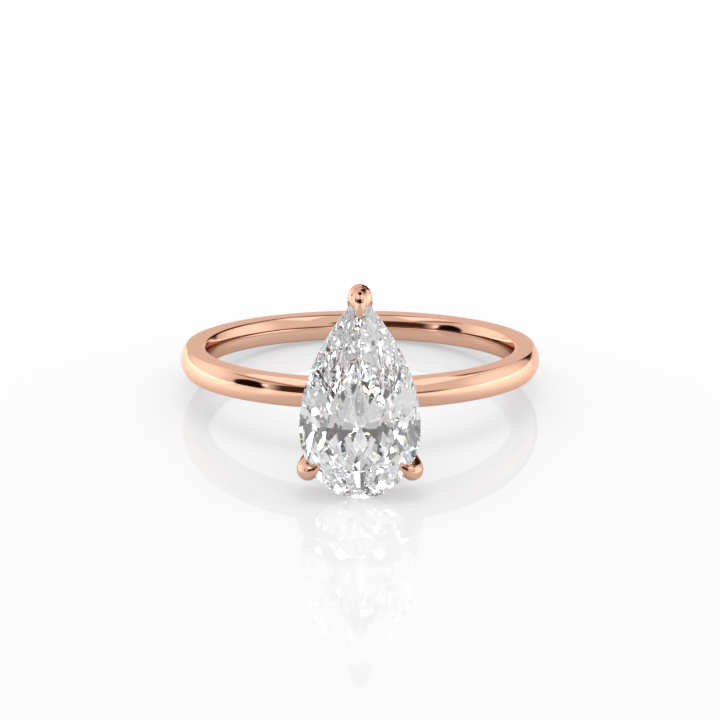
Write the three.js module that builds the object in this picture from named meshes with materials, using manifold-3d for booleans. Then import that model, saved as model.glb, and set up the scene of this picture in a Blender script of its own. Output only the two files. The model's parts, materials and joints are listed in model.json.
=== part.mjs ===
// A pear-cut solitaire ring: a comfort-fit band, a three-claw basket on a pegged base, and one pear diamond.
// Millimetres, +Z up. The ring lies on a table as it does out of its box: the back of the band and the round
// end of the stone rest on the plane z = 0, and the stone faces -Y.
import * as THREE from "three";
import { mergeVertices } from "three/addons/utils/BufferGeometryUtils.js";
import Module from "manifold-3d";

const wasm = await Module();
wasm.setup();

// ---- Driving dimensions ----

// Band
const boreDiameter = 16.56; // the finger hole, US size 6
const bandThickness = 1.55; // inside to outside, at the middle of the band
const bandWidth = 1.5; // along the finger
const outerDome = 0.3; // how far the outside domes past the edges of the flat sides
const comfortDome = 0.25; // how far the inside domes towards the finger

// Diamond
const stoneWidth = 6.04;
const pointLength = 6.8; // from the widest line to the point
const roundLength = 3.6; // from the widest line to the round end
const girdleThickness = 0.2;
const crownHeight = 0.95;
const tableShare = 0.58; // the table's outline, against the stone's
const pavilionDepth = 2.6;
const mainFacets = 8; // round the crown, and again round the pavilion
const halfSteepness = 1.22; // the small facets at the girdle, against the mains
const lowerHalfSteepness = 1.05; // the long facets under the girdle, against the mains
const starFlatness = 0.6; // the facets at the table, against the mains
const starStart = 0.46; // the table's edge under a star, as a share of the way in
const girdleAboveBand = 5.4; // middle of the girdle, over the outside of the band
const stoneDrop = 0.4; // widest line of the stone, below the middle plane of the band

// Basket
const baseHeight = 0.95; // over the outside of the band
const baseMargin = 0.03; // between the base's foot and the edges of the band's outside
const pegDiameter = 0.9;
const pegFloor = 0.6; // metal left in the band under the peg
const railWire = 0.64;
const lowerRailRise = 2.15; // middle of the lower rail, over the outside of the band
const upperRailInset = 0.56; // middle of the upper rail, inside the stone's outline
const clawFootWire = 0.84;
const clawFootGap = 0.36; // between the feet of the two side claws
const clawWire = 1.2; // at the girdle
const clawBend = 0.8; // where a claw turns up, as a share of its height
const clawPosition = -35; // degrees round the stone's round end, from its widest line
const clawOutset = 0.16; // middle of a claw outside the stone's outline, at the girdle
const clawReach = 0.6; // how far a claw's tip comes in over the crown
const pointClawWidth = 1.26;
const pointClawDepth = 1.4;
const pointClawSetback = 0.16; // its middle, inside the stone's point
const pointClawReach = 1.15; // how far its tip comes in over the crown
const pointClawRise = 0.55; // the top of its body, over the girdle
const beakWire = 0.8; // its narrow tip
const tipLift = 0.1; // the middle of each claw's very tip, over the crown

// Fits
const solderGap = 0.04; // between metal pieces that are soldered together
const seatGap = 0.03; // between the stone and the claws that hold it

// ---- Values that follow ----

const boreRadius = boreDiameter / 2;
const bandRadius = boreRadius + bandThickness;
const sideOuterRadius = bandRadius - outerDome;
const sideInnerRadius = boreRadius + comfortDome;
const stoneHalf = stoneWidth / 2;
const girdleHeight = bandRadius + girdleAboveBand;
const girdleTop = girdleHeight + girdleThickness / 2;
const girdleBottom = girdleHeight - girdleThickness / 2;
const tableHeight = girdleTop + crownHeight;
const culetHeight = girdleBottom - pavilionDepth;
const crownSlope = crownHeight / (stoneHalf * (1 - tableShare)); // at the stone's sides
const crownSlopeAtPoint = crownHeight / (pointLength * (1 - tableShare));
const pavilionSlope = pavilionDepth / stoneHalf;
const pegEnd = boreRadius + pegFloor;
const baseTop = bandRadius + baseHeight;
const footHeight = baseTop + solderGap;
const baseBottomDiameter = bandWidth - 2 * baseMargin;
const footSpread = (clawFootWire + clawFootGap) / (2 * clawSeat(1).out.x);
const baseTopDiameter = 2 * footSpread + clawFootWire;

// ---- Solids ----

// A closed geometry as a manifold-3d solid.
function toSolid(geometry) {
  const bare = geometry.clone();
  bare.deleteAttribute("normal");
  bare.deleteAttribute("uv");
  const merged = mergeVertices(bare, 1e-4);
  const corners = new Uint32Array(merged.index.array);
  const whole = [];
  for (let i = 0; i < corners.length; i += 3) {
    const [a, b, c] = corners.subarray(i, i + 3);
    if (a !== b && b !== c && c !== a) whole.push(a, b, c);
  }
  const vertProperties = merged.attributes.position.array;
  return new wasm.Manifold(
    new wasm.Mesh({ numProp: 3, vertProperties, triVerts: new Uint32Array(whole) }),
  );
}

// A manifold-3d solid as a geometry.
function toGeometry(solid) {
  const { vertProperties, triVerts } = solid.getMesh();
  const geometry = new THREE.BufferGeometry();
  geometry.setAttribute("position", new THREE.BufferAttribute(vertProperties, 3));
  geometry.setIndex(new THREE.BufferAttribute(triVerts, 1));
  geometry.computeVertexNormals();
  return geometry;
}

const cut = (solid, ...cutters) => cutters.reduce((left, cutter) => left.subtract(cutter), solid);

// ---- Outlines ----

// A pear with its widest line on y = 0 and its point up +Y, drawn anticlockwise from the point.
function pearOutline(half, point, round) {
  const path = new THREE.Path();
  path.moveTo(0, point);
  path.quadraticCurveTo(-half, point / 2, -half, 0);
  path.absellipse(0, 0, half, round, Math.PI, 2 * Math.PI, false);
  path.quadraticCurveTo(half, point / 2, 0, point);
  return path;
}

const stoneOutline = pearOutline(stoneHalf, pointLength, roundLength);

// The same outline moved in by an even margin. Its point draws back further than its sides do.
function insetPear(margin) {
  const halfPointAngle = Math.atan((2 * stoneHalf) / pointLength);
  return pearOutline(
    stoneHalf - margin,
    pointLength - margin / Math.sin(halfPointAngle),
    roundLength - margin,
  );
}

// Where a claw meets the round end: a point of the outline, and the way out from it.
function clawSeat(side) {
  const turn = THREE.MathUtils.degToRad(clawPosition);
  const at = new THREE.Vector2(side * stoneHalf * Math.cos(turn), roundLength * Math.sin(turn));
  const out = new THREE.Vector2(at.x / stoneHalf ** 2, at.y / roundLength ** 2).normalize();
  return { at, out };
}

// ---- Wires ----

// A wire along a curve: a turned form, whose profile is its radius along its length, bent to the curve.
// across is square to the plane that the curve lies in; widths are the section's shares across it and in it.
function bentWire(curve, radii, across, widths = [1, 1]) {
  const rows = radii.length - 1;
  const domed = radii.map((radius, i) => new THREE.Vector2(radius, i / rows));
  const closed = [new THREE.Vector2(0, 0), ...domed, new THREE.Vector2(0, 1)];
  const geometry = new THREE.LatheGeometry(closed, 16);
  const place = geometry.attributes.position;
  for (let i = 0; i < place.count; i++) {
    const along = THREE.MathUtils.clamp(place.getY(i), 0, 1);
    const inPlane = new THREE.Vector3().crossVectors(across, curve.getTangentAt(along));
    const point = curve.getPointAt(along);
    point.addScaledVector(across, place.getX(i) * widths[0]);
    point.addScaledVector(inPlane, place.getZ(i) * widths[1]);
    place.setXYZ(i, point.x, point.y, point.z);
  }
  return geometry;
}

// A closed wire ring, lying flat at a height: a torus drawn out to a pear. The bend at its point is round.
function railRing(outline, wire, height) {
  const stations = 44;
  const around = Array.from({ length: stations }, (_, i) => outline.getPointAt((i + 0.5) / stations));
  const curve = new THREE.CatmullRomCurve3(around.map((p) => new THREE.Vector3(p.x, p.y, 0)), true);
  const torusRadius = 10;
  const geometry = new THREE.TorusGeometry(torusRadius, wire / 2, 10, 72);
  const place = geometry.attributes.position;
  for (let i = 0; i < place.count; i++) {
    const turn = Math.atan2(place.getY(i), place.getX(i)) / (2 * Math.PI);
    const along = THREE.MathUtils.euclideanModulo(turn, 1);
    const out = Math.hypot(place.getX(i), place.getY(i)) - torusRadius;
    const point = curve.getPointAt(along);
    const tangent = curve.getTangentAt(along);
    place.setXYZ(i, point.x + tangent.y * out, point.y - tangent.x * out, height + place.getZ(i));
  }
  geometry.translate(0, -stoneDrop, 0);
  return geometry;
}

// ---- Band ----

// The band about +Z, with the head on its -Y side. Grown by a clearance, it cuts what sits on it.
function bandForm(clearance = 0) {
  const half = bandWidth / 2 + clearance;
  const dome = (radius, rise, way, steps) => Array.from({ length: steps + 1 }, (_, i) => {
    const share = (2 * i) / steps - 1;
    return new THREE.Vector2(radius + way * rise * (1 - share * share), -way * share * half);
  });
  const outside = dome(sideOuterRadius + clearance, outerDome, 1, 12);
  const inside = dome(sideInnerRadius - clearance, comfortDome, -1, 10);
  const section = [...outside, ...inside];
  section.push(section[0].clone());
  section.reverse();
  const geometry = new THREE.LatheGeometry(section, 112);
  geometry.rotateX(Math.PI / 2);
  return geometry;
}

function band() {
  const holeEnd = pegEnd - solderGap;
  const holeDepth = bandRadius + outerDome - holeEnd;
  const holeRadius = pegDiameter / 2 + solderGap;
  const hole = new THREE.CylinderGeometry(holeRadius, holeRadius, holeDepth, 20);
  hole.translate(0, -(holeEnd + holeDepth / 2), 0);
  return toGeometry(cut(toSolid(bandForm()), toSolid(hole)));
}

// ---- Head, in its own frame: +Z out from the middle of the bore, +Y to the stone's point ----

// The base: a turned cup over a peg. Its underside is cut to the band.
function headBase() {
  const top = baseTopDiameter / 2;
  const bottom = baseBottomDiameter / 2;
  const peg = pegDiameter / 2;
  const waist = bandRadius + baseHeight / 3;
  const cup = new THREE.LatheGeometry([
    new THREE.Vector2(0, sideOuterRadius),
    new THREE.Vector2(bottom, sideOuterRadius),
    new THREE.Vector2(bottom, waist),
    new THREE.Vector2(top, baseTop - baseHeight / 3),
    new THREE.Vector2(top, baseTop),
    new THREE.Vector2(0, baseTop),
  ], 32);
  const pegForm = new THREE.CylinderGeometry(peg, peg, waist - pegEnd, 20);
  pegForm.translate(0, (waist + pegEnd) / 2, 0);
  const bandInHeadFrame = bandForm(solderGap).rotateX(-Math.PI / 2);
  cup.rotateX(Math.PI / 2);
  pegForm.rotateX(Math.PI / 2);
  const fitted = cut(toSolid(cup), toSolid(bandInHeadFrame));
  return toGeometry(fitted.add(toSolid(pegForm)));
}

// A claw's line: from its foot out and up to its knee at the girdle, and then on along a last curve.
// It starts a little below the foot, and the top of the base trims it.
function clawLine(foot, knee, last) {
  const bend = knee.clone().setZ(THREE.MathUtils.lerp(foot.z, knee.z, clawBend));
  const start = foot.clone().lerp(bend, -0.1);
  const line = new THREE.CurvePath();
  line.add(new THREE.QuadraticBezierCurve3(start, bend, knee));
  line.add(last);
  return line;
}

function sideClawLine(side) {
  const { at, out } = clawSeat(side);
  const over = (outset, height) => new THREE.Vector3(
    at.x + out.x * outset, at.y + out.y * outset - stoneDrop, height,
  );
  const foot = new THREE.Vector3(out.x * footSpread, out.y * footSpread, footHeight);
  const tipHeight = girdleTop + clawReach * crownSlope + tipLift;
  const knee = over(clawOutset, girdleHeight);
  const hook = new THREE.QuadraticBezierCurve3(
    knee, over(clawOutset, tipHeight), over(-clawReach, tipHeight),
  );
  return clawLine(foot, knee, hook);
}

function pointClawLine() {
  const tip = pointLength - stoneDrop - pointClawSetback;
  const foot = new THREE.Vector3(0, footSpread, footHeight);
  const knee = new THREE.Vector3(0, tip, girdleHeight);
  const top = new THREE.Vector3(0, tip, girdleTop + pointClawRise);
  return clawLine(foot, knee, new THREE.LineCurve3(knee, top));
}

// Where a line that rises all the way passes a height, found by halving.
function pointAtHeight(line, height) {
  let [low, high] = [0, 1];
  for (let i = 0; i < 30; i++) {
    const middle = (low + high) / 2;
    if (line.getPointAt(middle).z < height) low = middle;
    else high = middle;
  }
  return line.getPointAt(low);
}

// What the claws are notched for: the stone, the rails that pass through them, and the base they stand on.
function clawCutters() {
  const cap = new THREE.CylinderGeometry(baseTopDiameter, baseTopDiameter, baseHeight, 24);
  cap.rotateX(Math.PI / 2);
  cap.translate(0, 0, footHeight - baseHeight / 2);
  return [
    stoneForm(seatGap),
    toSolid(upperRail(solderGap)),
    toSolid(lowerRail(solderGap)),
    toSolid(cap),
  ];
}

// A claw's radius along its length: it thickens from its foot, and its end draws in by shares of its
// thickness.
function clawRadii(footWire, wire, swell, endShares) {
  const rows = 18;
  const rising = Array.from({ length: rows + 1 }, (_, i) => (i / rows) ** swell);
  const shaft = rising.map((share) => THREE.MathUtils.lerp(footWire, wire, share) / 2);
  return [...shaft, ...endShares.map((share) => (share * wire) / 2)];
}

// side is -1 for the left claw and 1 for the right one.
function sideClaw(side) {
  const { out } = clawSeat(side);
  const radii = clawRadii(clawFootWire, clawWire, 1, [0.94, 0.82, 0.64, 0.4, 0.12]);
  const across = new THREE.Vector3(-out.y, out.x, 0);
  return toGeometry(cut(toSolid(bentWire(sideClawLine(side), radii, across)), ...clawCutters()));
}

// The claw at the point: a deep body that the point is let into, with a narrow beak laid over the crown.
function pointClaw() {
  const across = new THREE.Vector3(1, 0, 0);
  const bodyRadii = clawRadii(clawFootWire, pointClawDepth, 1.5, [0.93, 0.8, 0.55]);
  const body = bentWire(pointClawLine(), bodyRadii, across, [pointClawWidth / pointClawDepth, 1]);

  const tip = pointLength - stoneDrop;
  const beakTop = girdleTop + pointClawRise + 0.3;
  const beakEnd = girdleTop + pointClawReach * crownSlopeAtPoint + tipLift;
  const beakLine = new THREE.CubicBezierCurve3(
    new THREE.Vector3(0, tip - 0.02, girdleHeight),
    new THREE.Vector3(0, tip + 0.12, beakTop),
    new THREE.Vector3(0, tip - 0.35, beakTop + 0.1),
    new THREE.Vector3(0, tip - pointClawReach, beakEnd),
  );
  const beakShares = [0.8, 0.88, 0.95, 1, 1.04, 1.06, 1.04, 0.97, 0.84, 0.66, 0.42, 0.14];
  const beak = bentWire(beakLine, beakShares.map((share) => (share * beakWire) / 2), across);
  return toGeometry(cut(toSolid(body).add(toSolid(beak)), ...clawCutters()));
}

// The lower rail runs through the middles of the three claws.
function lowerRail(clearance = 0) {
  const height = bandRadius + lowerRailRise;
  const side = pointAtHeight(sideClawLine(1), height);
  const point = pointAtHeight(pointClawLine(), height);
  const half = Math.hypot(side.x, ((side.y + stoneDrop) * stoneHalf) / roundLength);
  const outline = pearOutline(half, point.y + stoneDrop, (half * roundLength) / stoneHalf);
  return railRing(outline, railWire + 2 * clearance, height);
}

// The upper rail lies against the pavilion, under the girdle.
function upperRail(clearance = 0) {
  const drop = (railWire / 2 + solderGap) / Math.cos(Math.atan(pavilionSlope));
  const height = girdleBottom - upperRailInset * pavilionSlope - drop;
  return railRing(insetPear(upperRailInset), railWire + 2 * clearance, height);
}

// ---- Diamond ----

// The stone as it is cut: a pear-shaped blank, and each facet taken off by a flat lap.
// Grown by a clearance, it cuts the seats in the claws.
function stoneForm(clearance = 0) {
  const grown = pearOutline(stoneHalf + clearance, pointLength + 2 * clearance, roundLength + clearance);
  const blank = new THREE.ExtrudeGeometry(new THREE.Shape(grown.getSpacedPoints(96).slice(0, -1)), {
    depth: tableHeight - culetHeight + 2 * clearance, bevelEnabled: false, steps: 1,
  });
  blank.translate(0, -stoneDrop, culetHeight - clearance);
  let stone = toSolid(blank);

  // A facet faces out square to the outline, at a share of the way round it. Over a run, which is a share of
  // the way in to the middle of the stone, it rises or falls by a height. It starts at edgeHeight, at the
  // outline or a share of the way in.
  const lap = (share, edgeHeight, runShare, rise, start = 0) => {
    const at = stoneOutline.getPointAt(share);
    const tangent = stoneOutline.getTangentAt(share);
    const outward = new THREE.Vector3(tangent.y, -tangent.x, 0);
    const reach = at.x * outward.x + at.y * outward.y;
    const facing = outward.clone().multiplyScalar(Math.abs(rise));
    facing.z = Math.sign(rise) * reach * runShare;
    facing.normalize();
    const size = 30;
    const wheel = new THREE.BoxGeometry(size, size, size);
    wheel.applyQuaternion(new THREE.Quaternion().setFromUnitVectors(new THREE.Vector3(0, 0, 1), facing));
    const middle = outward.clone().multiplyScalar(reach * (1 - start));
    middle.add(new THREE.Vector3(0, -stoneDrop, edgeHeight));
    middle.addScaledVector(facing, size / 2 + clearance);
    wheel.translate(middle.x, middle.y, middle.z);
    stone = stone.subtract(toSolid(wheel));
  };

  const crownRun = 1 - tableShare;
  for (let i = 0; i < mainFacets; i++) {
    const main = (i + 0.5) / mainFacets;
    lap(main, girdleTop, crownRun, crownHeight);
    lap(main, girdleBottom, 1, -pavilionDepth);
    for (const half of [-0.25, 0.25]) {
      lap(main + half / mainFacets, girdleTop, crownRun, crownHeight * halfSteepness);
      lap(main + half / mainFacets, girdleBottom, 1, -pavilionDepth * lowerHalfSteepness);
    }
    const star = (i + 1) / mainFacets;
    if (i < mainFacets - 1) lap(star, tableHeight, crownRun, crownHeight * starFlatness, starStart);
  }
  return stone;
}

// ---- Materials ----

const roseGold = () => new THREE.MeshStandardMaterial({ color: 0xdb9c80, metalness: 1, roughness: 0.12 });
const diamond = () => new THREE.MeshStandardMaterial({
  color: 0xf4f6fa, metalness: 0, roughness: 0.02, transparent: true, opacity: 0.35,
});

// ---- Assembly ----

function piece(name, geometry, material) {
  const mesh = new THREE.Mesh(geometry, material);
  mesh.name = name;
  return mesh;
}

const head = new THREE.Group();
head.add(piece("head_base", headBase(), roseGold()));
head.add(piece("lower_gallery_rail", lowerRail(), roseGold()));
head.add(piece("upper_gallery_rail", upperRail(), roseGold()));
head.add(piece("point_claw", pointClaw(), roseGold()));
head.add(piece("left_claw", sideClaw(-1), roseGold()));
head.add(piece("right_claw", sideClaw(1), roseGold()));
head.add(piece("pear_diamond", toGeometry(stoneForm()), diamond()));
head.rotation.x = Math.PI / 2;

const ring = new THREE.Group();
ring.add(piece("band", band(), roseGold()), head);

// The ring leans back on the outer edge of the band until the head meets the table, with its lowest corner.
const restLean = head.children.reduce((lean, mesh) => {
  const place = mesh.geometry.attributes.position;
  for (let i = 0; i < place.count; i++) {
    const drop = -place.getY(i) - bandWidth / 2;
    lean = Math.max(lean, Math.atan2(drop, place.getZ(i) + sideOuterRadius));
  }
  return lean;
}, 0);
ring.rotation.x = -restLean;

const solitaire = new THREE.Group();
solitaire.add(ring);
const extent = new THREE.Box3().setFromObject(solitaire, true);
const middle = extent.getCenter(new THREE.Vector3());
ring.position.set(-middle.x, -middle.y, -extent.min.z);

export default solitaire;
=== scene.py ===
import json
import math

import bmesh
import bpy
from mathutils import Matrix, Vector


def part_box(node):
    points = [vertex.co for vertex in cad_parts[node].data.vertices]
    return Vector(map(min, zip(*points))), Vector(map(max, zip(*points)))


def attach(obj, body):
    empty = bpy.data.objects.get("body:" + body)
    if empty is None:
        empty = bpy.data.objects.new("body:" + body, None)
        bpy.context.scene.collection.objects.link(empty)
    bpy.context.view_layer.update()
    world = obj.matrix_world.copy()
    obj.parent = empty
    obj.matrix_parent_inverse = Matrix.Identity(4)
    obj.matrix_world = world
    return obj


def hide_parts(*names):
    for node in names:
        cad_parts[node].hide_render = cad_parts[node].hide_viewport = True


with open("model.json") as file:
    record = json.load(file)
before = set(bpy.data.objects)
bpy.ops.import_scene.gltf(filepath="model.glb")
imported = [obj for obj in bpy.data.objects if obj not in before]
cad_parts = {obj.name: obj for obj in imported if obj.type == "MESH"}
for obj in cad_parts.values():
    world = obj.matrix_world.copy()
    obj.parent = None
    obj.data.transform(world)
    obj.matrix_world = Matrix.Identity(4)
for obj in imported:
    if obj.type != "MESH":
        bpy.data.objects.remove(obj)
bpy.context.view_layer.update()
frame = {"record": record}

# Pieces are modelled in millimetres about the middle of the finger hole, with +Z along the hole's axis, and
# the head to -Y. Each is then laid down the way the ring lies, at its real size.
millimetre = 0.001


def mountNamed(name):
    return next(mount for mount in frame["record"]["mounts"] if mount["name"] == name)


upperSide = mountNamed("band_side_upper")
lowerSide = mountNamed("band_side_lower")
boreAxis = Vector(upperSide["axis"])
lean = math.atan2(boreAxis.y, boreAxis.z)
bandLow, bandHigh = (Vector(corner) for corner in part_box("band"))
backOfBand = (Vector(upperSide["pos_m"]) + Vector(lowerSide["pos_m"])) / 2
boreHeight = (bandLow.z + bandHigh.z) / 2
boreBack = (boreHeight - backOfBand.z) / math.tan(lean)
boreMiddle = Vector((0, backOfBand.y - boreBack, boreHeight))

ringPlace = Matrix.Translation(boreMiddle) @ Matrix.Rotation(-lean, 4, "X") @ Matrix.Scale(millimetre, 4)
headPlace = ringPlace @ Matrix.Rotation(math.pi / 2, 4, "X")


# ---- working in edit mode ----

def startPiece(name):
    bpy.ops.object.select_all(action="DESELECT")
    piece = bpy.context.object
    piece.name = name
    piece.data.name = name
    piece.select_set(True)
    return piece


def selectWhere(test, domain="VERT"):
    mesh = bmesh.from_edit_mesh(bpy.context.object.data)
    bpy.ops.mesh.select_mode(type=domain)
    bpy.ops.mesh.select_all(action="DESELECT")
    items = {"VERT": mesh.verts, "EDGE": mesh.edges, "FACE": mesh.faces}[domain]
    for item in items:
        if test(item):
            item.select_set(True)
    mesh.select_flush_mode()
    bmesh.update_edit_mesh(bpy.context.object.data)


def sliceOff(point, outward):
    # takes away all that lies past a plane, and closes the cut
    bpy.ops.mesh.select_all(action="SELECT")
    bpy.ops.mesh.bisect(
        plane_co=point, plane_no=outward, use_fill=True, clear_outer=True, threshold=1e-5,
    )


def layDown(piece, place):
    piece.matrix_world = place
    bpy.ops.object.select_all(action="DESELECT")
    piece.select_set(True)
    bpy.context.view_layer.objects.active = piece
    bpy.ops.object.transform_apply(location=True, rotation=True, scale=True)


def applyAll(piece):
    bpy.context.view_layer.objects.active = piece
    for modifier in list(piece.modifiers):
        bpy.ops.object.modifier_apply(modifier=modifier.name)


def smoothBy(piece, degrees):
    bpy.ops.object.select_all(action="DESELECT")
    piece.select_set(True)
    bpy.context.view_layer.objects.active = piece
    bpy.ops.object.shade_smooth_by_angle(angle=math.radians(degrees))


# ---- finishes ----

polish = {
    "peelDetail": 2.0,
    "hairlineDetail": 4.0,
    "hairlineBreakUp": 0.7,
    "hairlineStretch": (1.0, 9.0, 3.0),
    "hairlineTurn": (0.4, 0.2, 0.9),
    "hairlineHeight": 0.15,
    "hairlineRoughness": 0.03,
}


def buildPolishGroup():
    # what polishing leaves: a very slight orange peel, and hairlines that catch the light
    group = bpy.data.node_groups.new("polishMarks", "ShaderNodeTree")
    sockets = group.interface
    for name, default in (("Peel Scale", 400.0), ("Hairline Scale", 900.0), ("Base Roughness", 0.05)):
        socket = sockets.new_socket(name=name, in_out="INPUT", socket_type="NodeSocketFloat")
        socket.default_value = default
    sockets.new_socket(name="Roughness", in_out="OUTPUT", socket_type="NodeSocketFloat")
    sockets.new_socket(name="Height", in_out="OUTPUT", socket_type="NodeSocketFloat")
    nodes, links = group.nodes, group.links
    given = nodes.new("NodeGroupInput")
    result = nodes.new("NodeGroupOutput")
    place = nodes.new("ShaderNodeTexCoord")

    peel = nodes.new("ShaderNodeTexNoise")
    peel.inputs["Detail"].default_value = polish["peelDetail"]
    links.new(place.outputs["Object"], peel.inputs["Vector"])
    links.new(given.outputs["Peel Scale"], peel.inputs["Scale"])

    stretch = nodes.new("ShaderNodeMapping")
    stretch.inputs["Scale"].default_value = polish["hairlineStretch"]
    stretch.inputs["Rotation"].default_value = polish["hairlineTurn"]
    links.new(place.outputs["Object"], stretch.inputs["Vector"])
    hairlines = nodes.new("ShaderNodeTexNoise")
    hairlines.inputs["Detail"].default_value = polish["hairlineDetail"]
    hairlines.inputs["Roughness"].default_value = polish["hairlineBreakUp"]
    links.new(stretch.outputs["Vector"], hairlines.inputs["Vector"])
    links.new(given.outputs["Hairline Scale"], hairlines.inputs["Scale"])

    both = nodes.new("ShaderNodeMath")
    both.operation = "MULTIPLY_ADD"
    both.inputs[1].default_value = polish["hairlineHeight"]
    links.new(hairlines.outputs["Fac"], both.inputs[0])
    links.new(peel.outputs["Fac"], both.inputs[2])
    links.new(both.outputs["Value"], result.inputs["Height"])

    rougher = nodes.new("ShaderNodeMath")
    rougher.operation = "MULTIPLY_ADD"
    rougher.inputs[1].default_value = polish["hairlineRoughness"]
    links.new(hairlines.outputs["Fac"], rougher.inputs[0])
    links.new(given.outputs["Base Roughness"], rougher.inputs[2])
    links.new(rougher.outputs["Value"], result.inputs["Roughness"])
    return group


def buildAlloyGroup():
    # cast gold is never one colour all over: copper-rich clouds, and paler skin where it was buffed longest
    group = bpy.data.node_groups.new("alloyTone", "ShaderNodeTree")
    sockets = group.interface
    scale = sockets.new_socket(name="Cloud Scale", in_out="INPUT", socket_type="NodeSocketFloat")
    scale.default_value = 160.0
    for name, default in (("Pale", (0.945, 0.575, 0.42, 1.0)), ("Coppery", (0.915, 0.535, 0.38, 1.0))):
        socket = sockets.new_socket(name=name, in_out="INPUT", socket_type="NodeSocketColor")
        socket.default_value = default
    sockets.new_socket(name="Color", in_out="OUTPUT", socket_type="NodeSocketColor")
    nodes, links = group.nodes, group.links
    given = nodes.new("NodeGroupInput")
    result = nodes.new("NodeGroupOutput")
    place = nodes.new("ShaderNodeTexCoord")
    clouds = nodes.new("ShaderNodeTexNoise")
    clouds.inputs["Detail"].default_value = 3.0
    links.new(place.outputs["Object"], clouds.inputs["Vector"])
    links.new(given.outputs["Cloud Scale"], clouds.inputs["Scale"])
    spread = nodes.new("ShaderNodeMapRange")
    spread.inputs["From Min"].default_value = 0.3
    spread.inputs["From Max"].default_value = 0.7
    links.new(clouds.outputs["Fac"], spread.inputs["Value"])
    tone = nodes.new("ShaderNodeMix")
    tone.data_type = "RGBA"
    links.new(spread.outputs["Result"], tone.inputs["Factor"])
    links.new(given.outputs["Pale"], tone.inputs["A"])
    links.new(given.outputs["Coppery"], tone.inputs["B"])
    links.new(tone.outputs["Result"], result.inputs["Color"])
    return group


def newMaterial(name):
    material = bpy.data.materials.new(name)
    material.use_nodes = True
    shader = material.node_tree.nodes["Principled BSDF"]
    return material, material.node_tree.nodes, material.node_tree.links, shader


# the band is buffed on a wheel, the claws by hand, and the basket is only tumbled
bandFinish = {"name": "polishedBand", "peel": 400, "hairline": 900, "roughness": 0.05, "bump": 0.02}
clawFinish = {"name": "polishedClaws", "peel": 700, "hairline": 1500, "roughness": 0.055, "bump": 0.03}
basketFinish = {"name": "castBasket", "peel": 1100, "hairline": 1900, "roughness": 0.09, "bump": 0.06}
gold = {
    "bumpDepth": 0.00002,
    # painted shade: the dark brown the gold is given where it is seen in its own reflections
    "paintedReflectionShade": (0.3, 0.13, 0.07, 1.0),
    "edgeTint": (1.0, 0.8, 0.7, 1.0),
}


def makeRoseGold(finish):
    material, nodes, links, shader = newMaterial(finish["name"])
    shader.inputs["Metallic"].default_value = 1.0
    marks = nodes.new("ShaderNodeGroup")
    marks.node_tree = polishMarks
    marks.inputs["Peel Scale"].default_value = finish["peel"]
    marks.inputs["Hairline Scale"].default_value = finish["hairline"]
    marks.inputs["Base Roughness"].default_value = finish["roughness"]
    links.new(marks.outputs["Roughness"], shader.inputs["Roughness"])
    bump = nodes.new("ShaderNodeBump")
    bump.inputs["Strength"].default_value = finish["bump"]
    bump.inputs["Distance"].default_value = gold["bumpDepth"]
    links.new(marks.outputs["Height"], bump.inputs["Height"])
    links.new(bump.outputs["Normal"], shader.inputs["Normal"])
    alloy = nodes.new("ShaderNodeGroup")
    alloy.node_tree = alloyTone

    # gold seen in gold is deeper and redder than gold seen straight; here its colour where it is seen in a
    # reflection is also painted much darker, a painted shade on the metal's self-reflections
    path = nodes.new("ShaderNodeLightPath")
    again = nodes.new("ShaderNodeMath")
    again.operation = "GREATER_THAN"
    again.inputs[1].default_value = 0.5
    links.new(path.outputs["Glossy Depth"], again.inputs[0])
    shadeInReflections = nodes.new("ShaderNodeMix")
    shadeInReflections.data_type = "RGBA"
    links.new(alloy.outputs["Color"], shadeInReflections.inputs["A"])
    shadeInReflections.inputs["B"].default_value = gold["paintedReflectionShade"]
    links.new(again.outputs["Value"], shadeInReflections.inputs["Factor"])
    links.new(shadeInReflections.outputs["Result"], shader.inputs["Base Color"])
    shader.inputs["Specular Tint"].default_value = gold["edgeTint"]
    return material


gem = {
    "tint": (0.995, 0.997, 1.0, 1.0),
    "bending": 2.42,
    "wheelScale": 1800.0,
    "wheelDetail": 3.0,
    "facetRoughness": 0.004,
    "girdleRoughness": 0.35,
    "bump": 0.01,
    "bumpDepth": 0.00001,
}


def makeDiamond():
    material, nodes, links, shader = newMaterial("diamond")
    shader.inputs["Base Color"].default_value = gem["tint"]
    shader.inputs["IOR"].default_value = gem["bending"]
    shader.inputs["Transmission Weight"].default_value = 1.0

    # facets are all but perfect; the girdle is left frosted
    frosted = nodes.new("ShaderNodeAttribute")
    frosted.attribute_name = "frosted"
    place = nodes.new("ShaderNodeTexCoord")
    wheel = nodes.new("ShaderNodeTexNoise")
    wheel.inputs["Scale"].default_value = gem["wheelScale"]
    wheel.inputs["Detail"].default_value = gem["wheelDetail"]
    links.new(place.outputs["Object"], wheel.inputs["Vector"])
    faint = nodes.new("ShaderNodeMath")
    faint.operation = "MULTIPLY"
    faint.inputs[1].default_value = gem["facetRoughness"]
    links.new(wheel.outputs["Fac"], faint.inputs[0])
    rough = nodes.new("ShaderNodeMath")
    rough.operation = "MULTIPLY_ADD"
    rough.inputs[1].default_value = gem["girdleRoughness"]
    links.new(frosted.outputs["Fac"], rough.inputs[0])
    links.new(faint.outputs["Value"], rough.inputs[2])
    links.new(rough.outputs["Value"], shader.inputs["Roughness"])
    bump = nodes.new("ShaderNodeBump")
    bump.inputs["Strength"].default_value = gem["bump"]
    bump.inputs["Distance"].default_value = gem["bumpDepth"]
    links.new(wheel.outputs["Fac"], bump.inputs["Height"])
    links.new(bump.outputs["Normal"], shader.inputs["Normal"])
    return material


print("finishes")
polishMarks = buildPolishGroup()
alloyTone = buildAlloyGroup()
bandGold = makeRoseGold(bandFinish)
clawGold = makeRoseGold(clawFinish)
basketGold = makeRoseGold(basketFinish)
diamondFinish = makeDiamond()


# ---- band ----

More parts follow.
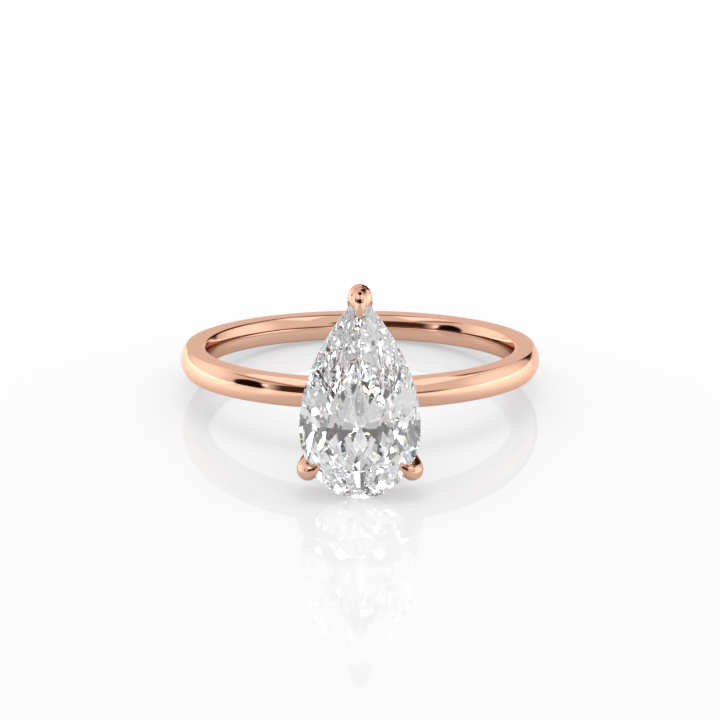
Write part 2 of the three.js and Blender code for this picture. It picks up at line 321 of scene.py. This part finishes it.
band = {
    "boreRadius": 8.28,
    "thickness": 1.55,
    "width": 1.5,
    "outerDome": 0.3,
    "comfortDome": 0.25,
    "outerEdgeRound": 0.1,
    "innerEdgeRound": 0.1,
    "domeSteps": 256,
    "insideCuts": 15,
    "edgeSteps": 8,
    "roundSteps": 256,
}


def makeBand():
    outside = band["boreRadius"] + band["thickness"]
    halfWidth = band["width"] / 2
    sideInner = band["boreRadius"] + band["comfortDome"]
    domeRadius = (halfWidth ** 2 + band["outerDome"] ** 2) / (2 * band["outerDome"])
    bpy.ops.mesh.primitive_circle_add(
        vertices=band["domeSteps"], radius=domeRadius, fill_type="NGON",
        location=(outside - domeRadius, 0, 0), rotation=(math.pi / 2, 0, 0),
    )
    piece = startPiece("comfortFitBand")
    bpy.ops.object.transform_apply(location=True, rotation=True, scale=False)
    bpy.ops.object.mode_set(mode="EDIT")
    sliceOff((0, 0, halfWidth), (0, 0, 1))
    sliceOff((0, 0, -halfWidth), (0, 0, -1))
    sliceOff((sideInner, 0, 0), (-1, 0, 0))

    # the inside edge is divided, and domed towards the finger
    selectWhere(lambda edge: all(abs(v.co.x - sideInner) < 1e-4 for v in edge.verts), "EDGE")
    bpy.ops.mesh.subdivide(number_cuts=band["insideCuts"])
    mesh = bmesh.from_edit_mesh(piece.data)
    for vert in mesh.verts:
        if abs(vert.co.x - sideInner) < 1e-4:
            vert.co.x -= band["comfortDome"] * (1 - (vert.co.z / halfWidth) ** 2)
    bmesh.update_edit_mesh(piece.data)

    # the four corners of the section are eased
    middle = (sideInner + outside) / 2
    for side, easing in ((1, band["outerEdgeRound"]), (-1, band["innerEdgeRound"])):
        selectWhere(lambda vert: abs(abs(vert.co.z) - halfWidth) < 1e-4 and (vert.co.x - middle) * side > 0)
        bpy.ops.mesh.bevel(offset=easing, segments=band["edgeSteps"], affect="VERTICES")
    selectWhere(lambda face: True, "FACE")
    bpy.ops.mesh.delete(type="ONLY_FACE")
    selectWhere(lambda vert: True)
    bpy.ops.mesh.spin(
        steps=band["roundSteps"], angle=2 * math.pi, center=(0, 0, 0), axis=(0, 0, 1),
    )
    bpy.ops.mesh.select_all(action="SELECT")
    bpy.ops.mesh.remove_doubles(threshold=1e-4)
    bpy.ops.mesh.normals_make_consistent(inside=False)
    bpy.ops.object.mode_set(mode="OBJECT")
    smoothBy(piece, 40)
    layDown(piece, ringPlace)
    return piece


print("band")
bandPiece = makeBand()
bandPiece.data.materials.append(bandGold)
bandPiece.visible_transmission = False
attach(bandPiece, "root")
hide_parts("band")


# ---- diamond ----

stone = {
    "width": 6.04,
    "pointLength": 6.8,
    "roundLength": 3.6,
    "drop": 0.4,
    "girdleRise": 15.23,
    "girdleThickness": 0.2,
    "crownHeight": 0.95,
    "tableShare": 0.58,
    "pavilionDepth": 2.6,
    "mains": 8,
    "halfSteepness": 1.22,
    "pavilionSwing": 0.05,
    "pavilionTiers": (
        {"facets": 28, "start": 0, "steepness": 1.14},
        {"facets": 20, "start": 0.16, "steepness": 1.0},
        {"facets": 20, "start": 0.4, "steepness": 0.9},
        {"facets": 12, "start": 0.7, "steepness": 0.78},
    ),
    "starFlatness": 0.6,
    "starStart": 0.46,
    "girdleSteps": 192,
}


def pearPoints(count, half, point, rounded):
    # evenly spaced round a pear, anticlockwise from its point: a parabola down each wing, and half an
    # ellipse below
    fine = 600
    rough = []
    for i in range(fine):
        along = i / fine
        rough.append(Vector((-half * (1 - (1 - along) ** 2), point * (1 - along), 0)))
    for i in range(fine):
        turn = math.pi * (1 + i / fine)
        rough.append(Vector((half * math.cos(turn), rounded * math.sin(turn), 0)))
    for i in range(fine):
        along = i / fine
        rough.append(Vector((half * (1 - along ** 2), point * along, 0)))
    lengths = [0.0]
    for i, spot in enumerate(rough):
        lengths.append(lengths[-1] + (rough[(i + 1) % len(rough)] - spot).length)
    points = []
    step = 0
    for i in range(count):
        goal = lengths[-1] * i / count
        while lengths[step + 1] < goal:
            step += 1
        share = (goal - lengths[step]) / (lengths[step + 1] - lengths[step])
        points.append(rough[step].lerp(rough[(step + 1) % len(rough)], share))
    return points


def makeStone(name, grown=0.0):
    half = stone["width"] / 2
    girdleTop = stone["girdleRise"] + stone["girdleThickness"] / 2
    girdleBottom = stone["girdleRise"] - stone["girdleThickness"] / 2
    tableRise = girdleTop + stone["crownHeight"]
    culetRise = girdleBottom - stone["pavilionDepth"]
    steps = stone["girdleSteps"]
    outline = pearPoints(steps, half, stone["pointLength"], stone["roundLength"])

    # the blank: a disc with its rim moved to the pear, drawn out to the stone's full depth
    bpy.ops.mesh.primitive_circle_add(
        vertices=steps, radius=half, fill_type="NGON", location=(0, 0, 0),
    )
    piece = startPiece(name)
    bpy.ops.object.mode_set(mode="EDIT")
    mesh = bmesh.from_edit_mesh(piece.data)
    mesh.verts.ensure_lookup_table()
    for vert, spot in zip(mesh.verts, outline):
        vert.co = spot + Vector((0, 0, culetRise))
    bmesh.update_edit_mesh(piece.data)
    bpy.ops.mesh.select_all(action="SELECT")
    bpy.ops.mesh.normals_make_consistent(inside=False)
    bpy.ops.mesh.extrude_region_move(TRANSFORM_OT_translate={"value": (0, 0, tableRise - culetRise)})
    bpy.ops.mesh.select_all(action="SELECT")
    bpy.ops.mesh.normals_make_consistent(inside=False)

    def cutFacet(share, edgeRise, runShare, rise, start=0.0):
        # square to the outline at a share of the way round, over a run towards the stone's middle
        near = round(share * steps) % steps
        at = outline[near]
        tangent = (outline[(near + 1) % steps] - outline[near - 1]).normalized()
        outward = Vector((tangent.y, -tangent.x, 0))
        reach = at.dot(outward)
        facing = outward * abs(rise)
        facing.z = math.copysign(reach * runShare, rise)
        sliceOff(outward * reach * (1 - start) + Vector((0, 0, edgeRise)), facing.normalized())

    mains = stone["mains"]
    crownRun = 1 - stone["tableShare"]
    for i in range(mains):
        main = (i + 0.5) / mains
        cutFacet(main, girdleTop, crownRun, stone["crownHeight"])
        for aside in (-0.25, 0.25):
            beside = main + aside / mains
            cutFacet(beside, girdleTop, crownRun, stone["crownHeight"] * stone["halfSteepness"])
        if i < mains - 1:
            star = (i + 1) / mains
            starRise = stone["crownHeight"] * stone["starFlatness"]
            cutFacet(star, tableRise, crownRun, starRise, stone["starStart"])
    # the pavilion's facets lean a little more or less by turns, which breaks its reflections up
    edge = girdleBottom
    above = {"start": 0, "steepness": 0}
    for number, tier in enumerate(stone["pavilionTiers"]):
        edge -= stone["pavilionDepth"] * above["steepness"] * (tier["start"] - above["start"])
        rise = -stone["pavilionDepth"] * tier["steepness"]
        for i in range(tier["facets"]):
            swing = 1 + stone["pavilionSwing"] * math.sin((2.4 + 1.3 * number) * i + number)
            share = (i + 0.5 * (number % 2)) / tier["facets"]
            cutFacet(share, edge, 1, rise * swing, tier["start"])
        above = tier
    bpy.ops.mesh.select_all(action="SELECT")
    bpy.ops.mesh.normals_make_consistent(inside=False)
    if grown:
        bpy.ops.transform.shrink_fatten(value=grown, use_even_offset=True)
    bpy.ops.transform.translate(value=(0, -stone["drop"], 0))
    bpy.ops.object.mode_set(mode="OBJECT")
    return piece


def markGirdle(piece):
    # the girdle's faces are the ones that stand upright
    frosted = piece.data.attributes.new("frosted", "FLOAT", "FACE")
    for face in piece.data.polygons:
        frosted.data[face.index].value = 1.0 if abs(face.normal.z) < 1e-3 else 0.0


print("diamond")
stonePiece = makeStone("pearBrilliant")
markGirdle(stonePiece)
layDown(stonePiece, headPlace)
stonePiece.data.materials.append(diamondFinish)
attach(stonePiece, "root")
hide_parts("pear_diamond")

# ---- head: its own frame has +Z out from the finger hole and +Y to the stone's point ----

head = {
    "bandRadius": 9.83,
    "baseHeight": 0.95,
    "baseFootRadius": 0.72,
    "baseTopRadius": 1.116,
    "baseSunk": 0.4,
    "pegRadius": 0.45,
    "pegEnd": 8.88,
    "edgeRound": 0.06,
}


def bezierAt(points, share):
    # de Casteljau's way down from the control points to one point of the curve
    while len(points) > 1:
        points = [near.lerp(far, share) for near, far in zip(points, points[1:])]
    return points[0]


def drawWire(name, spots, radii, closed=False):
    data = bpy.data.curves.new(name, "CURVE")
    data.dimensions = "3D"
    data.bevel_depth = 1.0
    data.bevel_resolution = 7
    data.use_fill_caps = not closed
    spline = data.splines.new("POLY")
    spline.points.add(len(spots) - 1)
    for point, spot, radius in zip(spline.points, spots, radii):
        point.co = (*spot, 1)
        point.radius = radius
    spline.use_cyclic_u = closed
    wire = bpy.data.objects.new(name, data)
    bpy.context.collection.objects.link(wire)
    bpy.ops.object.select_all(action="DESELECT")
    wire.select_set(True)
    bpy.context.view_layer.objects.active = wire
    bpy.ops.object.convert(target="MESH")
    wire = startPiece(name)
    bpy.ops.object.mode_set(mode="EDIT")
    bpy.ops.mesh.select_all(action="SELECT")
    bpy.ops.mesh.remove_doubles(threshold=1e-4)
    bpy.ops.mesh.normals_make_consistent(inside=False)
    bpy.ops.object.mode_set(mode="OBJECT")
    return wire


def fuse(piece, voxel, smoothing):
    # one cast skin over all that the piece is drawn from, with its creases filled a little
    remesh = piece.modifiers.new("skin", "REMESH")
    remesh.mode = "VOXEL"
    remesh.voxel_size = voxel
    relax = piece.modifiers.new("relax", "SMOOTH")
    relax.factor = 0.5
    relax.iterations = smoothing
    applyAll(piece)


def cutSeat(piece, cutter):
    # the notch that the stone's edge sits in
    notch = piece.modifiers.new("seat", "BOOLEAN")
    notch.operation = "DIFFERENCE"
    notch.solver = "EXACT"
    notch.object = cutter
    applyAll(piece)


def makeBase():
    foot = head["bandRadius"] - head["baseSunk"]
    top = head["bandRadius"] + head["baseHeight"]
    rings = [
        (head["pegRadius"], head["pegEnd"]),
        (head["pegRadius"], foot),
        (head["baseFootRadius"], foot),
        (head["baseFootRadius"], head["bandRadius"] + head["baseHeight"] * 0.3),
        (head["baseTopRadius"], top - head["baseHeight"] * 0.34),
        (head["baseTopRadius"], top),
    ]
    radius, height = rings[0]
    bpy.ops.mesh.primitive_circle_add(vertices=96, radius=radius, fill_type="NGON", location=(0, 0, height))
    piece = startPiece("turnedBase")
    bpy.ops.object.transform_apply(location=True, rotation=True, scale=True)
    bpy.ops.object.mode_set(mode="EDIT")
    bpy.ops.mesh.select_all(action="SELECT")
    for nextRadius, nextHeight in rings[1:]:
        bpy.ops.mesh.extrude_region_move(TRANSFORM_OT_translate={"value": (0, 0, nextHeight - height)})
        grow = nextRadius / radius
        bpy.ops.transform.resize(value=(grow, grow, 1), center_override=(0, 0, nextHeight))
        radius, height = nextRadius, nextHeight
    bpy.ops.mesh.select_all(action="SELECT")
    bpy.ops.mesh.normals_make_consistent(inside=False)
    waist = head["bandRadius"]

    def isTurnedEdge(edge):
        low, high = sorted(vert.co.z for vert in edge.verts)
        return high - low < 1e-5 and low > waist

    selectWhere(isTurnedEdge, "EDGE")
    bpy.ops.mesh.bevel(offset=head["edgeRound"], segments=4, affect="EDGES")
    bpy.ops.object.mode_set(mode="OBJECT")
    smoothBy(piece, 35)
    return piece


claws = {
    "footWire": 0.84,
    "kneeWire": 1.2,
    "footHeight": 10.8,
    "footSpread": 0.696,
    "girdleHeight": 15.23,
    "bend": 0.8,
    "seat": (2.474, -2.465),
    "wayOut": (0.862, -0.506),
    "outset": 0.16,
    "reach": 0.6,
    "tipHeight": 15.88,
    "drawIn": 0.22,
    "drawInBy": 0.92,
    "drawInCurve": 1.8,
    "steps": 56,
    "voxel": 0.028,
    "smoothing": 2,
}


def evenly(line, count):
    # points at even distances along a line of close points
    lengths = [0.0]
    for near, far in zip(line, line[1:]):
        lengths.append(lengths[-1] + (far - near).length)
    spots = []
    step = 0
    for i in range(count):
        goal = lengths[-1] * i / (count - 1)
        while step < len(line) - 2 and lengths[step + 1] < goal:
            step += 1
        share = (goal - lengths[step]) / (lengths[step + 1] - lengths[step])
        spots.append(line[step].lerp(line[step + 1], min(1, share)))
    return spots


def clawLine(foot, knee, last):
    bend = Vector((knee.x, knee.y, foot.z + (knee.z - foot.z) * claws["bend"]))
    start = foot.lerp(bend, -0.1)
    shaft = [bezierAt([start, bend, knee], i / 60) for i in range(60)]
    return evenly(shaft + [bezierAt(last, i / 40) for i in range(41)], claws["steps"])


def sideClawLine(side):
    out = Vector((side * claws["wayOut"][0], claws["wayOut"][1], 0))
    seat = Vector((side * claws["seat"][0], claws["seat"][1], 0))
    knee = seat + out * claws["outset"] + Vector((0, 0, claws["girdleHeight"]))
    over = Vector((knee.x, knee.y, claws["tipHeight"]))
    tip = seat - out * claws["reach"] + Vector((0, 0, claws["tipHeight"]))
    foot = out * claws["footSpread"] + Vector((0, 0, claws["footHeight"]))
    return clawLine(foot, knee, [knee, over, tip])


def makeSideClaw(side, name):
    spots = sideClawLine(side)
    drawn = claws["drawIn"]  # the share of its length over which its end draws in
    radii = []
    for i in range(len(spots)):
        along = i / (len(spots) - 1)
        rising = min(1, along / (1 - drawn))
        thick = (claws["footWire"] + (claws["kneeWire"] - claws["footWire"]) * rising) / 2
        ending = max(0, (along - 1 + drawn) / drawn)
        radii.append(thick * (1 - claws["drawInBy"] * ending ** claws["drawInCurve"]))
    return drawWire(name, spots, radii)


pointClaw = {
    "width": 1.26,
    "depth": 1.4,
    "stoneTip": 6.4,
    "setback": 0.16,
    "top": 15.72,
    "topRounding": 0.14,
    "topRoundingBy": 0.75,
    "thickening": 1.5,
    "smoothing": 7,
    "beakWire": 0.7,
    "beakTop": 16.16,
    "beakLift": 0.14,
    "beakInset": -0.04,
    "beakBack": 0.16,
    "beakTurn": 0.4,
    "reach": 1.15,
    "beakEnd": 15.81,
    "beakSteps": 40,
    "beakStart": 0.9,
    "beakSwell": 0.1,
    "beakSwellEnd": 0.42,
    "beakTaperStart": 0.48,
    "beakTaperBy": 0.92,
    "beakTaperCurve": 1.15,
}


def pointClawLine():
    foot = Vector((0, claws["footSpread"], claws["footHeight"]))
    knee = Vector((0, pointClaw["stoneTip"] - pointClaw["setback"], claws["girdleHeight"]))
    top = Vector((0, knee.y, pointClaw["top"]))
    return clawLine(foot, knee, [knee, top])


def makePointClaw():
    tip = pointClaw["stoneTip"]
    spots = pointClawLine()
    drawn = pointClaw["topRounding"]
    radii = []
    for i in range(len(spots)):
        along = i / (len(spots) - 1)
        rising = min(1, along / (1 - drawn)) ** pointClaw["thickening"]
        thick = (claws["footWire"] + (pointClaw["depth"] - claws["footWire"]) * rising) / 2
        ending = max(0, (along - 1 + drawn) / drawn)
        radii.append(thick * math.sqrt(1 - pointClaw["topRoundingBy"] * ending ** 4))
    body = drawWire("pointClaw", spots, radii)
    bpy.ops.object.mode_set(mode="EDIT")
    bpy.ops.mesh.select_all(action="SELECT")
    slimmer = pointClaw["width"] / pointClaw["depth"]
    bpy.ops.transform.resize(value=(slimmer, 1, 1), center_override=(0, 0, 0))
    bpy.ops.object.mode_set(mode="OBJECT")

    beakLine = [
        Vector((0, tip - pointClaw["beakInset"], claws["girdleHeight"])),
        Vector((0, tip - pointClaw["beakInset"] + pointClaw["beakBack"], pointClaw["beakTop"])),
        Vector((0, tip - pointClaw["beakTurn"], pointClaw["beakTop"] + pointClaw["beakLift"])),
        Vector((0, tip - pointClaw["reach"], pointClaw["beakEnd"])),
    ]
    count = pointClaw["beakSteps"]
    beakSpots = evenly([bezierAt(beakLine, i / 60) for i in range(61)], count)
    beakRadii = []
    for i in range(count):
        along = i / (count - 1)
        swelling = math.sin(math.pi / 2 * min(1, along / pointClaw["beakSwellEnd"]))
        swell = pointClaw["beakStart"] + pointClaw["beakSwell"] * swelling
        taperStart = pointClaw["beakTaperStart"]
        ending = max(0, (along - taperStart) / (1 - taperStart))
        taper = 1 - pointClaw["beakTaperBy"] * ending ** pointClaw["beakTaperCurve"]
        beakRadii.append(pointClaw["beakWire"] / 2 * swell * taper)
    beak = drawWire("beak", beakSpots, beakRadii)
    bpy.ops.object.select_all(action="DESELECT")
    beak.select_set(True)
    body.select_set(True)
    bpy.context.view_layer.objects.active = body
    bpy.ops.object.join()
    return body


rails = {
    "wire": 0.64,
    "lowerHeight": 11.98,
    "upperHeight": 14.17,
    "upperInset": 0.56,
    "stations": 160,
}


def makeRail(name, height, half, point, rounded):
    outline = pearPoints(rails["stations"], half, point, rounded)
    drop = Vector((0, -stone["drop"], height))
    radii = [rails["wire"] / 2] * len(outline)
    return drawWire(name, [spot + drop for spot in outline], radii, closed=True)


print("claws")
seatCutter = makeStone("seatCutter", grown=0.02)
leftClaw = makeSideClaw(-1, "leftClaw")
rightClaw = makeSideClaw(1, "rightClaw")
tipClaw = makePointClaw()
for claw in (leftClaw, rightClaw, tipClaw):
    fuse(claw, claws["voxel"], pointClaw["smoothing"] if claw == tipClaw else claws["smoothing"])
    cutSeat(claw, seatCutter)
    smoothBy(claw, 40)

print("basket")
basePiece = makeBase()
halfPointAngle = math.atan(stone["width"] / stone["pointLength"])
upperRail = makeRail(
    "upperRail", rails["upperHeight"], stone["width"] / 2 - rails["upperInset"],
    stone["pointLength"] - rails["upperInset"] / math.sin(halfPointAngle),
    stone["roundLength"] - rails["upperInset"],
)


def atHeight(line, height):
    for low, high in zip(line, line[1:]):
        if low.z <= height < high.z:
            return low.lerp(high, (height - low.z) / (high.z - low.z))


sideAt = atHeight(sideClawLine(1), rails["lowerHeight"])
pointAt = atHeight(pointClawLine(), rails["lowerHeight"])
lowerHalf = math.hypot(sideAt.x, (sideAt.y + stone["drop"]) * stone["width"] / 2 / stone["roundLength"])
lowerRail = makeRail(
    "lowerRail", rails["lowerHeight"], lowerHalf, pointAt.y + stone["drop"],
    lowerHalf * stone["roundLength"] / (stone["width"] / 2),
)
for rail in (upperRail, lowerRail):
    smoothBy(rail, 60)
bpy.data.objects.remove(seatCutter)

headPieces = (
    (tipClaw, "point_claw"), (leftClaw, "left_claw"), (rightClaw, "right_claw"),
    (basePiece, "head_base"), (upperRail, "upper_gallery_rail"), (lowerRail, "lower_gallery_rail"),
)
for piece, node in headPieces:
    layDown(piece, headPlace)
    piece.data.materials.append(clawGold if node.endswith("claw") else basketGold)
    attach(piece, "root")
    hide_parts(node)
    piece.visible_transmission = False


# ---- floor, light and camera ----

studio = {
    "overheadHeight": 0.9,
    "overheadSize": 0.5,
    "overheadPower": 1.7,
    "daylight": 0.78,
    "daylightInStone": 0.58,
    "flagTone": (1.0, 0.5, 0.28, 1.0),
    "panels": 34,
    "sparks": 32,
    "sparkTones": ((0.55, 0.4, 1, 1), (1, 0.85, 0.35, 1), (0.4, 0.85, 1, 1), (1, 0.45, 0.3, 1)),
    "floorSize": 1.6,
    "floorWhite": (0.42, 0.42, 0.43, 1.0),
    "floorGlow": 0.49,
    "floorRoughness": 0.03,
    "floorGloss": 0.25,
    # painted reflection: the floor's glow as glossy rays see it, set apart from its glow seen straight
    "paintedReflectionGlow": (0.28, 0.8),  # of the floor as the metal sees it: in front, and past the ring's sides
    "paintedReflectionGlowEdges": (0.006, 0.016),
}

# Each is at an azimuth from the camera, to the right, and an elevation, in degrees, at a distance in
# metres. Width and height are in metres; soft is how much of it fades out to its edge.
cards = {
    "leftSkyBox": dict(at=(-75, 53, 0.8), size=(0.66, 0.34), glow=1.3, soft=0.12),
    "rightSkyBox": dict(at=(75, 53, 0.8), size=(0.66, 0.34), glow=1.25, soft=0.12),
    "leftBowl": dict(at=(-122, 10, 0.8), size=(1.1, 1.0), glow=1.2, soft=0.75, isRound=True),
    "rightBowl": dict(at=(100, 12, 0.8), size=(1.2, 1.0), glow=1.2, soft=0.75, isRound=True),
    "leftFlag": dict(at=(-75, 10, 0.6), size=(0.3, 0.44), glow=0.01, soft=0.25, turn=20, isRound=True),
    "leftGlint": dict(at=(-64, 17, 0.55), size=(0.05, 0.14), glow=1.4, soft=0.5, turn=20),
    "frontFlag": dict(at=(-18, 17, 0.75), size=(1.4, 0.58), glow=0.06, soft=0.35),
    "rightFlag": dict(at=(40, 2, 0.72), size=(0.6, 0.2), glow=0.02, soft=0.95),
    "leftRim": dict(at=(-75, 36, 0.78), size=(0.85, 0.06), glow=0.3, soft=0.4),
    "backFlag": dict(at=(153, 19, 0.7), size=(0.42, 0.62), glow=0.03, soft=0.45),
    "backRim": dict(at=(125, 38, 0.75), size=(0.95, 0.2), glow=0.12, soft=0.6, turn=-42),
    "highFlag": dict(at=(160, 43, 0.75), size=(0.42, 0.32), glow=0.06, soft=0.5),
    "topFlag": dict(at=(180, 83, 0.8), size=(0.9, 0.5), glow=0.02, soft=0.25, isRound=True),
}


clawFlag = dict(at=(0, 20, 0.012), size=(0.016, 0.012), glow=0.02, soft=0.2, isRound=True)
observer = dict(at=(0, 22, 0.7), size=(0.8, 0.5), glow=0.0, soft=0.15)
goldenAngle = 137.5
goldenShare = 0.618


def aim(azimuth, elevation):
    around, up = math.radians(azimuth), math.radians(elevation)
    return Vector((math.sin(around) * math.cos(up), -math.cos(around) * math.cos(up), math.sin(up)))


def makeCard(name, at, size, glow, soft, turn=0, isRound=False, tone=(1, 1, 1, 1), about=boreMiddle):
    azimuth, elevation, distance = at
    way = aim(azimuth, elevation)
    bpy.ops.mesh.primitive_plane_add(size=1)
    card = startPiece(name)
    card.location = about + way * distance
    facing = way.to_track_quat("Z", "Y").to_matrix().to_4x4()
    card.rotation_euler = (facing @ Matrix.Rotation(math.radians(turn), 4, "Z")).to_euler()
    card.scale = (size[0], size[1], 1)
    card.visible_camera = False
    card.visible_shadow = False
    if glow < studio["daylight"]:
        card.visible_diffuse = False
        card.visible_transmission = False
        tone = studio["flagTone"]
    material = bpy.data.materials.new(name)
    material.use_nodes = True
    nodes, links = material.node_tree.nodes, material.node_tree.links
    nodes.clear()
    place = nodes.new("ShaderNodeTexCoord")
    centred = nodes.new("ShaderNodeMapping")
    centred.inputs["Location"].default_value = (-1, -1, 0)
    centred.inputs["Scale"].default_value = (2, 2, 0)
    links.new(place.outputs["UV"], centred.inputs["Vector"])
    if isRound:
        reach = nodes.new("ShaderNodeVectorMath")
        reach.operation = "LENGTH"
        links.new(centred.outputs["Vector"], reach.inputs[0])
        out = reach.outputs["Value"]
    else:
        absolute = nodes.new("ShaderNodeVectorMath")
        absolute.operation = "ABSOLUTE"
        links.new(centred.outputs["Vector"], absolute.inputs[0])
        parts = nodes.new("ShaderNodeSeparateXYZ")
        links.new(absolute.outputs["Vector"], parts.inputs["Vector"])
        most = nodes.new("ShaderNodeMath")
        most.operation = "MAXIMUM"
        links.new(parts.outputs["X"], most.inputs[0])
        links.new(parts.outputs["Y"], most.inputs[1])
        out = most.outputs["Value"]
    fade = nodes.new("ShaderNodeMapRange")
    fade.interpolation_type = "SMOOTHSTEP"
    fade.inputs["From Min"].default_value = 1
    fade.inputs["From Max"].default_value = 1 - soft
    links.new(out, fade.inputs["Value"])
    light = nodes.new("ShaderNodeEmission")
    light.inputs["Color"].default_value = tone
    light.inputs["Strength"].default_value = glow
    clear = nodes.new("ShaderNodeBsdfTransparent")
    mix = nodes.new("ShaderNodeMixShader")
    links.new(fade.outputs["Result"], mix.inputs["Fac"])
    links.new(clear.outputs["BSDF"], mix.inputs[1])
    links.new(light.outputs["Emission"], mix.inputs[2])
    output = nodes.new("ShaderNodeOutputMaterial")
    links.new(mix.outputs["Shader"], output.inputs["Surface"])
    card.data.materials.append(material)
    return card


def makeStage():
    bpy.ops.mesh.primitive_plane_add(size=studio["floorSize"], location=(0, 0, 0))
    floor = startPiece("paleFloor")
    material, nodes, links, shader = newMaterial("glossyWhite")
    shader.inputs["Base Color"].default_value = studio["floorWhite"]
    shader.inputs["Emission Color"].default_value = (1, 1, 1, 1)
    shader.inputs["Roughness"].default_value = studio["floorRoughness"]
    shader.inputs["Specular IOR Level"].default_value = studio["floorGloss"]

    # painted reflection: the light table's glow is set dimmer in front and brighter to the sides for glossy
    # rays only, so in the metal it looks brighter to the sides than in front
    place = nodes.new("ShaderNodeTexCoord")
    parts = nodes.new("ShaderNodeSeparateXYZ")
    links.new(place.outputs["Object"], parts.inputs["Vector"])
    aside = nodes.new("ShaderNodeMath")
    aside.operation = "ABSOLUTE"
    links.new(parts.outputs["X"], aside.inputs[0])
    spread = nodes.new("ShaderNodeMapRange")
    spread.interpolation_type = "SMOOTHSTEP"
    near, far = studio["paintedReflectionGlowEdges"]
    dim, bright = studio["paintedReflectionGlow"]
    spread.inputs["From Min"].default_value = near
    spread.inputs["From Max"].default_value = far
    spread.inputs["To Min"].default_value = dim
    spread.inputs["To Max"].default_value = bright
    links.new(aside.outputs["Value"], spread.inputs["Value"])
    path = nodes.new("ShaderNodeLightPath")
    seen = nodes.new("ShaderNodeMix")
    seen.data_type = "FLOAT"
    seen.inputs["A"].default_value = studio["floorGlow"]
    links.new(spread.outputs["Result"], seen.inputs["B"])
    links.new(path.outputs["Is Glossy Ray"], seen.inputs["Factor"])
    links.new(seen.outputs["Result"], shader.inputs["Emission Strength"])
    floor.data.materials.append(material)
    placed = [makeCard(name, **card) for name, card in cards.items()]
    # close in front of the stone's point, for the dark spot on the claw there
    clawTop = headPlace @ Vector((0, pointClaw["stoneTip"], pointClaw["beakTop"]))
    placed.append(makeCard("clawFlag", **clawFlag, about=clawTop))
    # what only the stone sees: dark panels and bright strips by turns, and small coloured lights for its
    # fire. The golden angle spreads them evenly.
    for i in range(studio["panels"]):
        around = (i * goldenAngle) % 360 - 180
        rise = 8 + 74 * ((i * goldenShare) % 1)
        size, shade = ((0.14, 0.5), 4.0) if i % 2 else ((0.3, 0.5), 0.0)
        placed.append(makeCard(f"panel{i}", (around, rise, 0.7), size, shade, 0.15, turn=i * 47))
        placed[-1].visible_glossy = False
        placed[-1].visible_transmission = True
    for i in range(studio["sparks"]):
        around = (i * goldenAngle) % 360 - 163
        rise = 6 + 72 * ((i * goldenShare) % 1)
        tone = studio["sparkTones"][i % len(studio["sparkTones"])]
        placed.append(makeCard(f"spark{i}", (around, rise, 0.66), (0.07, 0.07), 5.0, 0.3, tone=tone))
        placed[-1].visible_glossy = False
    placed.append(makeCard("observer", **observer))
    placed[-1].visible_glossy = False
    placed[-1].visible_transmission = True
    for card in placed[len(cards) + 1:]:
        card.visible_diffuse = False

    bpy.ops.object.light_add(type="AREA", location=(0, 0, studio["overheadHeight"]))
    overhead = bpy.context.object
    overhead.name = "overhead"
    overhead.data.shape = "DISK"
    overhead.data.size = studio["overheadSize"]
    overhead.data.energy = studio["overheadPower"]
    overhead.visible_glossy = False
    overhead.visible_transmission = False

    world = bpy.data.worlds.new("softStudio")
    bpy.context.scene.world = world
    world.use_nodes = True
    backdrop = world.node_tree.nodes["Background"]
    backdrop.inputs["Color"].default_value = (1, 1, 1, 1)

    # the stone works with less daylight, and more from its strips
    nodes, links = world.node_tree.nodes, world.node_tree.links
    path = nodes.new("ShaderNodeLightPath")
    inStone = nodes.new("ShaderNodeMix")
    inStone.data_type = "FLOAT"
    inStone.inputs["A"].default_value = studio["daylight"]
    inStone.inputs["B"].default_value = studio["daylightInStone"]
    links.new(path.outputs["Is Transmission Ray"], inStone.inputs["Factor"])
    links.new(inStone.outputs["Result"], backdrop.inputs["Strength"])


camera = {
    "riseOverBand": 11.975,
    "distance": 0.1598,
    "aimDrop": 0.000154,
    "lens": 145.5,
    "sensor": 36.0,
    "clipStart": 0.001,
    "clipEnd": 10.0,
}


def makeCamera():
    riseAngle = math.radians(camera["riseOverBand"]) + lean
    away = Vector((0, -math.cos(riseAngle), math.sin(riseAngle)))
    upInView = Vector((0, math.sin(riseAngle), math.cos(riseAngle)))
    target = boreMiddle - upInView * camera["aimDrop"]
    data = bpy.data.cameras.new("productCamera")
    data.lens = camera["lens"]
    data.sensor_width = camera["sensor"]
    data.clip_start = camera["clipStart"]
    data.clip_end = camera["clipEnd"]
    viewer = bpy.data.objects.new("productCamera", data)
    bpy.context.collection.objects.link(viewer)
    viewer.location = target + away * camera["distance"]
    viewer.rotation_euler = (-away).to_track_quat("-Z", "Y").to_euler()
    bpy.context.scene.camera = viewer


print("stage")
makeStage()
makeCamera()
scene = bpy.context.scene
scene.view_settings.view_transform = "Standard"
bounces = 64  # light goes round many times inside the stone
scene.cycles.max_bounces = bounces
scene.cycles.transmission_bounces = bounces
scene.cycles.glossy_bounces = bounces
scene.cycles.caustics_reflective = False
